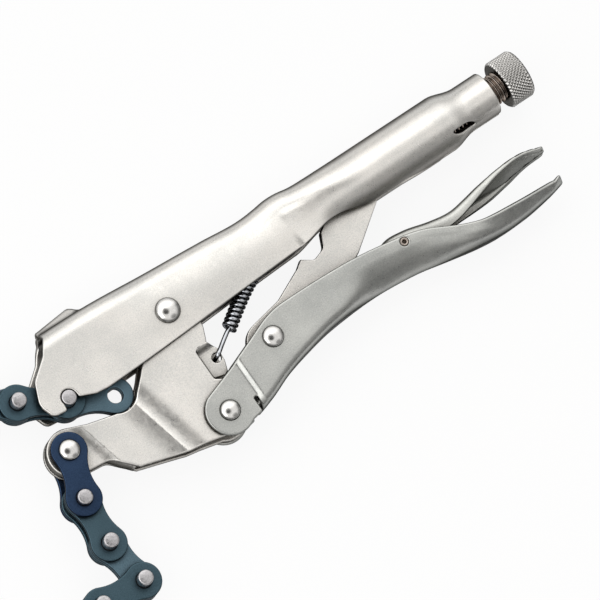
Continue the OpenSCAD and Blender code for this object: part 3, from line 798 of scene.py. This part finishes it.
def jaw():
    pin_hole = circle(ANCHOR, PIN_HOLE)
    holes = [circle(JAW_RIVET, RIVET_HOLE), circle(HANDLE_RIVET, RIVET_HOLE), pin_hole]
    near, far = (sheet(jaw_outline(), holes, fold, JAW_WALL, edge=0.5, step=1.2, guides=crease_lines())
                 for fold in (jaw_fold, far_jaw_fold))
    rounded = arc(JAW_NOSE, JAW_NOSE_R - CORE_INSET, 75, 265, 24)
    nose = [np.array(p) for p in (CORE_FRONT, *rounded, *CORE_BACK)]
    near_in, far_in = NOSE_Z - CORE_SINK * JAW_WALL, FAR_NOSE_Z - CORE_SINK * JAW_WALL
    core = sheet(nose, [pin_hole], flat_fold(near_in), near_in + far_in, edge=0.1)
    tab = run(TAB[-1], TAB, TAB[0])
    front = sheet(tab, [circle(SPRING_FOOT, HOOK_HOLE, 24)], tab_fold, TAB_SHEET, edge=0.35, step=1.0)
    rear = sheet(tab, [], tab_fold, TAB_SHEET, edge=0.35, step=1.0)
    return joined(near, flipped(far), core, front, flipped(rear))


piece("jaw_shell", jaw(), NICKEL, "nickel", "jaw", "jaw")


# Rivets
SHANK_R = 3.5
HANDLE_GRIP = 8.8
LINK_GRIP = 9.8
ANCHOR_GRIP = 7.0
HEAD_RIM = 0.25
# Radius of the small flat at the middle of a turned end
AXIS_R = 0.05


def dome(head_r, grip, height):
    """One end of a rivet: a low dome with a small flat rim, from the axis out to its shank."""
    angles = np.radians(np.linspace(90, 0, 14))
    cap = [(max(head_r * math.cos(a), AXIS_R), grip + HEAD_RIM + (height - HEAD_RIM) * math.sin(a))
           for a in angles]
    return [*cap, (head_r, grip + 0.12), (head_r - 0.08, grip)]


def rivet(at, shank_r, head_r, grip, height):
    top = dome(head_r, grip, height)
    low = [(r, -h) for r, h in reversed(top)]
    return shifted(lathed([*top, (shank_r, grip), (shank_r, -grip), *low]), *at)


piece("jaw_rivet_heads", rivet(JAW_RIVET, SHANK_R, head_r=4.9, grip=CHANNEL_HALF, height=2.7), RIVET,
      "rivet_steel", "fixed_handle", "jaw_rivet")
piece("handle_rivet_heads", rivet(HANDLE_RIVET, SHANK_R, head_r=3.95, grip=HANDLE_GRIP, height=2.1), RIVET,
      "rivet_steel", "lower_handle", "handle_rivet")
piece("link_rivet_heads", rivet(LINK_RIVET, SHANK_R, head_r=4.15, grip=LINK_GRIP, height=2.1), RIVET,
      "rivet_steel", "lower_handle", "link_rivet")
piece("anchor_rivet_heads", rivet(ANCHOR, PIN_R, head_r=4.1, grip=ANCHOR_GRIP, height=2.0), RIVET,
      "rivet_steel", "jaw", "chain_anchor_rivet")


# Lower handle: a channel that opens towards the fixed handle, with two ears on the jaw
LOWER_SHEET = 1.8
EAR_HALF = 8.8
LOWER_HALF = 9.8
EAR_R = 9.6
# Where the ears end and the walls step out to the channel's width
JOG = 9.0
JOG_RAMP = (JOG + 0.7, 2.3)
LOWER_END = 158.0
# Bend radius, back and rim along the handle, as (x, value)
LOWER_BEND = [(0, 4.5), (9, 4.5), (56, 5.0), (72, 8.2), (90, 9.0), (106, 7.6), (125, 5.5), (158, 4.0)]
LOWER_BACK = [(9, -51), (15.8, -49), (25.5, -45.2), (36, -42.2), (52, -39.1), (72, -38.2), (90, -39.5),
              (105, -42.1), (124.5, -44.8), (139, -44.6), (151, -43.0), (158, -41.4)]
LOWER_RIM = [(9, -30.4), (20.4, -26), (30, -22.4), (38, -21.2), (66, -21.8), (83.4, -23.8), (99, -27),
             (113.6, -33.8), (121, -36.6), (127, -37.8), (133, -38.5), (140, -39), (151, -39.3),
             (158, -39.8)]
# The half-width falls in eased stages (amount, start, run), and then evenly over the tip
LOWER_TAPERS = ((3.1, 112, 24), (1.7, 138, 14))
TIP_TAPER, TIP_TAPER_FROM = 1.5, 154
# The bend opens from a right angle to this one
TIP_TURN = np.radians(50)
TIP_TURN_RAMP = (110, 26)
# The bend radius and the sheet are at most these shares of the channel's depth
BEND_SHARE, WALL_SHARE = 0.8, 0.7
# The walls lean in towards the back, by an angle in degrees, below a straight strip under the rim
LEAN = 30
LEAN_STRETCH = (54, 24, 124, 28)
LEAN_STRIP = 3


def lower_section(x):
    """Half-width, back, rim, bend radius and bend angle. The walls open out towards the tip."""
    x = np.maximum(x, JOG)
    back, rim = curve(LOWER_BACK, x), curve(LOWER_RIM, x)
    half = mix(EAR_HALF, LOWER_HALF, ramp(x, *JOG_RAMP))
    for amount, start, length in LOWER_TAPERS:
        half = half - amount * ramp(x, start, length)
    half = half - TIP_TAPER * np.clip((x - TIP_TAPER_FROM) / (LOWER_END - TIP_TAPER_FROM), 0, 1)
    bend = np.minimum(curve(LOWER_BEND, x), BEND_SHARE * (rim - back))
    turn = mix(QUARTER, TIP_TURN, ramp(x, *TIP_TURN_RAMP))
    return half, back, rim, bend, turn


def lower_reach(x):
    half, back, _, bend, _ = lower_section(x)
    return back + bend - bend * QUARTER - half + bend


def lower_wall(x):
    _, back, rim, _, _ = lower_section(x)
    return np.minimum(LOWER_SHEET, WALL_SHARE * (rim - back))


def lower_fold(x, w, depth):
    half, back, rim, bend, turn = lower_section(x)
    s = np.abs(w)
    z, rise = over_bend(s, half - bend, bend, turn, depth)
    y = back + rise
    lean = LEAN * stretch(x, *LEAN_STRETCH)
    below = np.maximum(rim - y - LEAN_STRIP, 0)
    z -= np.tan(np.radians(lean)) * below**2 / (below + LEAN_STRIP) * np.clip(z / half, 0, 1)
    ear = x < JOG
    y = np.where(ear, lower_reach(x) + s, y)
    z = np.where(ear, EAR_HALF - depth, z)
    return np.stack([x, y, z * np.sign(w)], 1)


def lower_handle():
    """A slot at the web's front edge frees each ear from the bend."""
    slot_front, slot_foot, past_bend = 8.2, -51.3, 1.2
    web_front = JOG + 0.6
    _, back, _, bend, _ = lower_section(JOG)
    slot_top = float(back + bend) + past_bend
    start = (web_front, float(lower_reach(web_front)))
    ear = arc(HANDLE_RIVET, EAR_R, 305, 118, 36)
    corners = [(web_front, slot_top, 0.5), (slot_front, slot_top, 0.5), (slot_front, slot_foot, 1)]
    slot = run(start, corners, ear[0])
    stations = np.linspace(JOG + 1, LOWER_END - 3, 150)
    rim = []
    for x in stations:
        half, back, edge, bend, turn = lower_section(x)
        rim.append(np.array([x, float(bend_length(edge - back, half - bend, bend, turn))]))
    end = np.array([LOWER_END, 0.0])
    tip = run(rim[-1], [(LOWER_END, rim[-1][1], 1.2)], end)
    outline = [*to_blank([start, *slot, *ear], lower_reach), *rim, *tip, end]
    holes = [to_blank(circle(at, r), lower_reach, side) for side in (1, -1)
             for at, r in ((HANDLE_RIVET, RIVET_HOLE), (LINK_RIVET, RIVET_HOLE), (LEVER_PIN, LEVER_HOLE))]
    places = JOG + 1 + np.array([-0.5, -0.15, 0.15, 0.6, 1.1, 1.55, 1.85, 2.2])
    joggle = [[(x, w) for w in np.arange(-45, 45, GUIDE_STEP)] for x in places]
    return sheet(both_halves(outline), holes, lower_fold, lower_wall, edge=0.65, guides=joggle)


piece("lower_handle_shell", lower_handle(), DARKER_NICKEL, "nickel", "lower_handle", "lower_handle")


# Toggle link and its spacers
LINK_HALF = 2.0
LINK_NOSE = np.array([97, AXIS_Y])
LINK_ROOT_R = 8.6
LINK_NOSE_R = 4
LINK_UNDER = [(62, -28.5, 4), (76.4, -20.8, 1.5), (94, -8.2, 4)]
LINK_OVER = [(80, 1, 6), (68.6, -6.4, 1.5), (66, -12, 3), (60.5, -13.8, 2), (56, -10.8, 0.3), (53, -13, 1),
             (40, -19, 6)]


def toggle_link():
    root = arc(LINK_RIVET, LINK_ROOT_R, 100, 290, 28)
    tip = arc(LINK_NOSE, LINK_NOSE_R, -45, 110, 16)
    under = run(root[-1], LINK_UNDER, tip[0])
    over = run(tip[-1], LINK_OVER, root[0])
    outline = [*root, *under, *tip, *over]
    hole = circle(LINK_RIVET, RIVET_HOLE)
    return sheet(outline, [hole], flat_fold(LINK_HALF), 2 * LINK_HALF, edge=0.35, step=1.4)


def washer(at, inner, outer, low, high):
    rim, hole = circle((0, 0), outer, 40), circle((0, 0), inner)
    return shifted(sheet(rim, [hole], flat_fold(high), high - low, edge=0.3, step=1.0), *at)


def lever_pin():
    """A hollow pin with rounded ends, its bore closed a little way in."""
    top = [(0.8, 8.0), (0.8, 9.5), (1.0, 9.75), (1.45, 9.75), (1.6, 9.6)]
    low = [(r, -h) for r, h in reversed(top)]
    return shifted(lathed([*top, *low], 28), *LEVER_PIN)


piece("toggle_link_plate", toggle_link(), NICKEL, "nickel", "toggle_link", "toggle_link")
piece("link_spacer_rings", mirrored(washer(LINK_RIVET, RIVET_HOLE, outer=5.5, low=2.2, high=7.8)), RIVET,
      "rivet_steel", "lower_handle", "link_spacers")
piece("lever_pin_tube", lever_pin(), SCREW, "screw_steel", "lower_handle", "lever_pin")


# Release lever: a narrow channel inside the lower handle that sweeps out to a finger blade
LEVER_SHEET = 1.6
LEVER_START = 76.0
LEVER_END = 159.8
# Height of its top and depth of its walls, as (x, value)
LEVER_TOP = [(70, -31), (79, -27.5), (86, -22.8), (95, -23), (105, -25.4), (114, -26.8), (121.5, -26.4),
             (128, -25.8), (134, -25.5), (141, -25.2), (148, -24.7), (153, -24.8), (160, -25.6)]
LEVER_DEPTH = [(70, 3), (79, 6), (86, 8.5), (95, 8.6), (104, 7), (113, 5), (122, 4.4), (128, 4.0),
               (133, 3.4), (140, 2.4), (150, 1.7), (159, 1.7)]
LEVER_HALF = 5.3
LEVER_TAPER, TAPER_FROM, TAPER_POWER = 3.6, 142, 1.5
# The bend radius, and the share of the walls' depth that it stays under
LEVER_BEND, LEVER_BEND_SHARE = 2.6, 0.7
LEVER_TWIST = math.tan(math.radians(27))
TWIST_RAMP = (110, 28)


def lever_section(x):
    """Half-width, top and bend radius."""
    taper = np.clip((x - TAPER_FROM) / (LEVER_END - TAPER_FROM), 0, 1) ** TAPER_POWER
    bend = np.minimum(LEVER_BEND, LEVER_BEND_SHARE * curve(LEVER_DEPTH, x))
    return LEVER_HALF - LEVER_TAPER * taper, curve(LEVER_TOP, x), bend


def lever_reach(x):
    half, web, bend = lever_section(x)
    return web - bend + bend * QUARTER + half - bend


def lever_fold(x, w, depth):
    half, web, bend = lever_section(x)
    z, rise = over_bend(np.abs(w), half - bend, bend, QUARTER, depth)
    z *= np.sign(w)
    twist = LEVER_TWIST * ramp(x, *TWIST_RAMP)
    return np.stack([x, web - rise + twist * z, z], 1)


def release_lever():
    start = (LEVER_START, float(lever_reach(LEVER_START)))
    end = (LEVER_END, float(lever_reach(LEVER_END)))
    stations = np.linspace(LEVER_START, LEVER_END - 2, 80)
    rim = [np.array([x, float(curve(LEVER_TOP, x) - curve(LEVER_DEPTH, x))]) for x in stations]
    tip = run(rim[-1], [(LEVER_END, rim[-1][1], 1.4)], end)
    outline = to_blank([start, *rim, *tip, end], lever_reach)
    holes = [to_blank(circle(LEVER_PIN, LEVER_HOLE), lever_reach, side) for side in (1, -1)]
    return sheet(both_halves(outline), holes, lever_fold, LEVER_SHEET, edge=0.35, step=1.2)


piece("release_lever_blade", release_lever(), DARKER_NICKEL, "nickel", "release_lever", "release_lever")


# Return spring: one wire that hooks into the jaw's tab and the handle's lug
WIRE_R = 0.88
COIL_R = 2.2
COIL_STEP = 1.95
SPRING_LINE = [(15.5, -19.3), (17.9, -17.7), (27.7, -11.2), (36, -6.6), (46, -2.4), (54, 0.3), (60, 1.5)]
COIL_SPAN = (17.9, 51.0)
RINGS_PER_CURL = 28
WIRE_SIDES = 12


def smooth_path(points, steps):
    """A smooth run through points, with each point's direction taken from its neighbours."""
    keys = np.arange(len(points))
    places = np.linspace(0, len(points) - 1, steps * (len(points) - 1) + 1)
    return [np.array(p) for p in zip(*[curve(list(zip(keys, axis)), places) for axis in zip(*points)])]


def spring_path():
    """The wire from its hook in the tab, up the coil's curved line, to its hook in the lug."""
    xs = np.linspace(*COIL_SPAN, 600)
    line = np.stack([xs, curve(SPRING_LINE, xs)], 1)
    run_length = np.concatenate([[0], np.cumsum(np.linalg.norm(np.diff(line, axis=0), axis=1))])
    along = np.arange(0, run_length[-1], COIL_STEP / RINGS_PER_CURL)
    centre = np.stack([np.interp(along, run_length, line[:, i]) for i in (0, 1)], 1)
    heading = np.gradient(centre, axis=0)
    heading /= np.linalg.norm(heading, axis=1)[:, None]
    turn = 2 * math.pi * along / COIL_STEP
    across = np.sin(turn) * COIL_R
    coil = np.stack([centre[:, 0] + heading[:, 1] * across, centre[:, 1] - heading[:, 0] * across,
                     np.cos(turn) * COIL_R], 1)
    foot, head = SPRING_FOOT, SPRING_HEAD
    lower = [(*foot, -1.0), (*foot, 0.6), (*(foot + [0.3, 0.2]), 4.0), (*(foot + [1.7, 1.1]), 5.1),
             (11.6, -21.2, 3.9), (15.6, -18.7, 3.2), tuple(coil[0])]
    upper = [tuple(coil[-1]), (*(head - [3.6, 0.9]), 2.4), (*(head - [1.2, 0.3]), 2.3), (*head, 1.0),
             (*head, -1.8)]
    return np.array([*smooth_path(lower, 8)[:-1], *coil, *smooth_path(upper, 8)[1:]])


def wire(path, r, sides):
    """A round wire along a path, its section carried along without twist."""
    tangents = np.gradient(path, axis=0)
    normal = np.array([0.0, 0, 1])
    angles = np.linspace(0, 2 * math.pi, sides, endpoint=False)
    rows = []
    for p, t in zip(path, tangents):
        t = unit(t)
        normal = unit(normal - t * (normal @ t) + 1e-6)
        other = np.cross(t, normal)
        rows.append(p + r * (np.cos(angles)[:, None] * normal + np.sin(angles)[:, None] * other))
    return tube(rows)


spring_mesh = mesh_of("return_spring_wire", wire(spring_path(), WIRE_R, WIRE_SIDES), SPRING, on_tool)
spring = add("return_spring_wire", spring_mesh, ["return_spring"])


def row_point(xy):
    return ORIGIN + Vector((*xy, 0)) * MM


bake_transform(spring)


# Chain: pairs of waisted plates on pins
LINKS = 25
OPEN_PIN = 13
PLATE_T = 2.0
PLATE_R = 7.1
WAIST = 5.2
INNER_IN, OUTER_IN, ANCHOR_IN = 0.15, 2.35, 4.8
PIN_HALF = 9.4


def named(word, k):
    return f"{word}_{k:02d}"


def chain_pins():
    """The chain's pins in order, from its joints and from the links at its open pin and its free end."""
    places = {k - 1 if k <= OPEN_PIN else k: tool_xy(JOINT_AT[named("chain", k)]) for k in range(1, LINKS)}
    after_open = places[OPEN_PIN + 1]
    places[OPEN_PIN] = 2 * middle(named("chain_link", OPEN_PIN + 1)) - after_open
    places[LINKS] = 2 * middle(named("chain_link", LINKS)) - places[LINKS - 1]
    return [places[i] for i in range(LINKS + 1)]


PINS = chain_pins()
PITCH = float(np.linalg.norm(PINS[1] - PINS[0]))


def plate_outline():
    half = PITCH / 2
    waist_r = (half**2 + WAIST**2 - PLATE_R**2) / (2 * (PLATE_R - WAIST))
    away = waist_r + WAIST
    a = math.degrees(math.atan2(away, half))
    first = arc((0, 0), PLATE_R, a, 360 - a, 34)
    below = arc((half, -away), waist_r, 180 - a, a, 10)
    last = arc((PITCH, 0), PLATE_R, a - 180, 180 - a, 34)
    above = arc((half, away), waist_r, -a, a - 180, 10)
    return [*first, *below[1:-1], *last, *above[1:-1]]


def plate_pair(inside_z):
    holes = [circle((x, 0), PIN_HOLE) for x in (0, PITCH)]
    return mirrored(sheet(plate_outline(), holes, flat_fold(inside_z + PLATE_T), PLATE_T))


def pin(x, low=-PIN_HALF):
    """A pin with a slightly domed, broken-edged head at its outer end, and at both ends if it is whole."""
    head = [(AXIS_R, PIN_HALF), (1.4, PIN_HALF - 0.04), (2.3, PIN_HALF - 0.12), (2.7, PIN_HALF - 0.22),
            (2.87, PIN_HALF - 0.36), (PIN_R, PIN_HALF - 0.6)]
    foot = [(PIN_R, low), (AXIS_R, low)] if low > 0 else [(r, -h) for r, h in reversed(head)]
    return shifted(lathed([*head, *foot], 32), x, 0)


LINK_MESHES = {layer: mesh_of(f"plates_{layer}", plate_pair(z), finish) for layer, z, finish in
               (("anchor", ANCHOR_IN, ANCHOR_PLATE), ("outer", OUTER_IN, OUTER_PLATE),
                ("inner", INNER_IN, INNER_PLATE))}
PIN_MESHES = {
    "far": mesh_of("pins_far", pin(PITCH), PIN_STEEL),
    "both": mesh_of("pins_both", joined(pin(0), pin(PITCH)), PIN_STEEL),
    "open": mesh_of("pins_open", joined(mirrored(pin(0, OUTER_IN)), pin(PITCH)), PIN_STEEL),
}


def set_on_link(k, made):
    start, stop = PINS[k - 1], PINS[k]
    turn = math.atan2(*(stop - start)[::-1])
    made.matrix_world = Matrix.Translation(row_point(start)) @ Matrix.Rotation(turn, 4, "Z")
    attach(made, named("link", k))


for k in range(1, LINKS + 1):
    layer = "anchor" if k == 1 else "outer" if k % 2 == 0 else "inner"
    plates = add(named("link_plates", k), LINK_MESHES[layer], [named("chain_link", k)])
    set_on_link(k, plates)
    if k == 1 or k % 2 == 0:
        kind = "far" if k <= 2 else "open" if k == OPEN_PIN + 1 else "both"
        pins = add(named("link_pin_pair", k), PIN_MESHES[kind], [named("link_pins", k)])
        set_on_link(k, pins)


# Camera: looks down from a little on the nose's side, rolled so that the handles climb to the right
FRAME_PX = 600
MM_PER_PX = 0.375
ROLL = math.radians(33.4)
RIVET_PX = (168, 310)
RIVET_TOP = 9.5
CAMERA_DISTANCE = 8.0
SENSOR = 36.0
TOWARD_CAMERA = (-0.30, -0.10, 1.0)
back = Vector(TOWARD_CAMERA).normalized()
along = (Vector((1, 0, 0)) - back * back.x).normalized()
across = back.cross(along)
right = along * math.cos(ROLL) - across * math.sin(ROLL)
up = along * math.sin(ROLL) + across * math.cos(ROLL)
centre_px = FRAME_PX / 2
target = ORIGIN + Vector((0, 0, RIVET_TOP)) * MM
target += (right * (centre_px - RIVET_PX[0]) + up * (RIVET_PX[1] - centre_px)) * MM_PER_PX * MM
camera_data = bpy.data.cameras.new("camera")
camera_data.sensor_width = SENSOR
camera_data.lens = SENSOR * CAMERA_DISTANCE / (FRAME_PX * MM_PER_PX * MM)
camera = bpy.data.objects.new("camera", camera_data)
turned = Matrix((right, up, back)).transposed().to_4x4()
camera.matrix_world = Matrix.Translation(target + back * CAMERA_DISTANCE) @ turned
bpy.context.scene.collection.objects.link(camera)
scene = bpy.context.scene
scene.camera = camera
scene.view_settings.view_transform = "Standard"


# Studio: a white floor, one soft box and a sky that is bright overhead and dim at the horizon
FLOOR_HALF = 9.0
FLOOR_Z = -0.0002
WHITE_SHARE = 0.9
# Each part of the sky: its levels, and the heights or sideways shares of a direction over which it rises
LOW_SKY, HIGH_SKY = 0.17, 0.9
HIGH_SKY_RISE = (0.2, 0.85)
BACK_SKY = 0.75
BACK_SKY_SIDE = (0.04, 0.4)
BACK_SKY_RISE = (-0.15, 0.35)
SKY_COLOUR = (1, 0.99, 0.975, 1)
# Dark gaps in the tent: where, and how bright each still is at its middle
TENT_GAP, TENT_GAP_LEVEL = (-0.09, 0.06, 0.99), 0.08
SIDE_GAP, SIDE_GAP_LEVEL = (0.29, -0.65, 0.70), 0.4
# Cosines of the angles from a gap's middle at which it starts and is darkest
GAP_EDGE = (0.94, 0.985)


def floor():
    mesh = bpy.data.meshes.new("floor")
    corners = [(-1, -1), (1, -1), (1, 1), (-1, 1)]
    mesh.from_pydata([(x * FLOOR_HALF, y * FLOOR_HALF, FLOOR_Z) for x, y in corners], [], [(0, 1, 2, 3)])
    made = bpy.data.objects.new("floor", mesh)
    scene.collection.objects.link(made)
    paint = bpy.data.materials.new("floor_white")
    paint.use_nodes = True
    tree = paint.node_tree
    shader = tree.nodes["Principled BSDF"]
    shader.inputs["Base Color"].default_value = (0.93, 0.93, 0.93, 1)
    shader.inputs["Roughness"].default_value = 0.9
    glow = node(tree, "Emission", Color=(1, 1, 1, 1), Strength=1.0)
    rays = node(tree, "LightPath")
    seen = rays.outputs["Is Camera Ray"]
    for kind in ("Is Glossy Ray", "Is Transmission Ray"):
        seen = combined(tree, "MAXIMUM", seen, rays.outputs[kind])
    share = node(tree, "Math", operation="MULTIPLY")
    share.inputs[1].default_value = WHITE_SHARE
    tree.links.new(seen, share.inputs[0])
    both = node(tree, "MixShader")
    tree.links.new(share.outputs[0], both.inputs[0])
    tree.links.new(shader.outputs[0], both.inputs[1])
    tree.links.new(glow.outputs[0], both.inputs[2])
    tree.links.new(both.outputs[0], tree.nodes["Material Output"].inputs["Surface"])
    mesh.materials.append(paint)


def soft_box(name, place, facing, width, height, radiance):
    """An area lamp, placed from the jaw rivet in metres. radiance is how bright its face is."""
    data = bpy.data.lights.new(name, "AREA")
    data.shape = "RECTANGLE"
    data.size, data.size_y = width, height
    data.energy = radiance * math.pi * width * height
    made = bpy.data.objects.new(name, data)
    made.location = ORIGIN + Vector(place)
    made.rotation_mode = "QUATERNION"
    made.rotation_quaternion = (-Vector(facing)).to_track_quat("Z", "Y")
    made.visible_camera = False
    scene.collection.objects.link(made)


def gap_shade(tree, direction, toward, darkest):
    """A factor that falls from 1 to the darkest level around one direction of the sky."""
    gap = node(tree, "VectorMath", operation="DOT_PRODUCT")
    gap.inputs[1].default_value = Vector(toward).normalized()
    tree.links.new(direction, gap.inputs[0])
    return smooth(tree, gap.outputs["Value"], *GAP_EDGE, 1.0, darkest)


def sky():
    """A white tent: bright overhead and behind the fixed handle, dim low down, with two dark gaps."""
    world = bpy.data.worlds.new("sky")
    scene.world = world
    world.use_nodes = True
    tree = world.node_tree
    direction = node(tree, "TexCoord").outputs["Generated"]
    parts = node(tree, "SeparateXYZ")
    tree.links.new(direction, parts.inputs[0])
    overhead = smooth(tree, parts.outputs["Z"], *HIGH_SKY_RISE, LOW_SKY, HIGH_SKY)
    behind = combined(tree, "MULTIPLY", smooth(tree, parts.outputs["Y"], *BACK_SKY_SIDE, 0, BACK_SKY),
                      smooth(tree, parts.outputs["Z"], *BACK_SKY_RISE))
    shade = combined(tree, "MULTIPLY", gap_shade(tree, direction, TENT_GAP, TENT_GAP_LEVEL),
                     gap_shade(tree, direction, SIDE_GAP, SIDE_GAP_LEVEL))
    level = combined(tree, "MULTIPLY", combined(tree, "ADD", overhead, behind), shade)
    tree.links.new(level, tree.nodes["Background"].inputs["Strength"])
    tree.nodes["Background"].inputs["Color"].default_value = SKY_COLOUR


floor()
sky()
soft_box("nose_panel", place=(-0.6, 0.0, 0.48), facing=(1, 0, -0.7), width=0.7, height=0.55, radiance=1.1)
